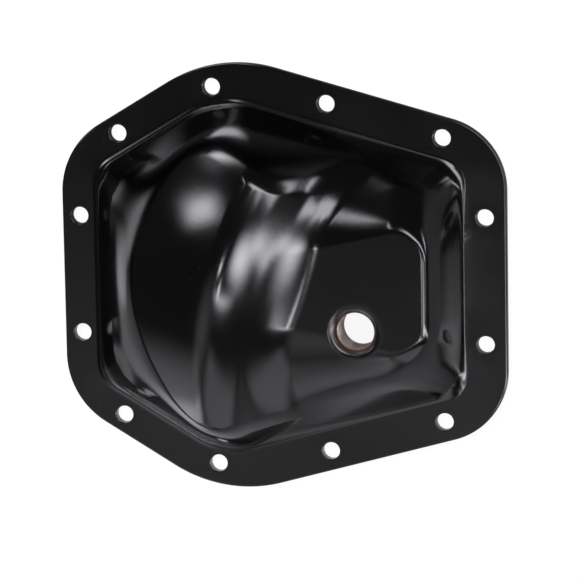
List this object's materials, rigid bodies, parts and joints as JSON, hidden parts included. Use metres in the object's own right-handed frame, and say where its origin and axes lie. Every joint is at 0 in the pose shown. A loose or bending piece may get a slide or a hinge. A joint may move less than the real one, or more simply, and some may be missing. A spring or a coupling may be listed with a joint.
{
  "type": "differential cover",
  "caption": "Deep-drawn steel differential cover with a flat bolting flange, a ring gear dome, and a pad with a tapped filler neck.",
  "frame": {"origin": "middle of the flange's outline, on the mating face", "axes": "+Z out of the mating face towards the bulge, +X along the axle's axis from the dome to the pad, +Y across it"},
  "size_m": [0.235, 0.2236, 0.0703],
  "materials": {
    "gloss_black_paint": "gloss"
  },
  "bodies": {
    "root": {"cover": "gloss_black_paint"}
  },
  "joints": []
}
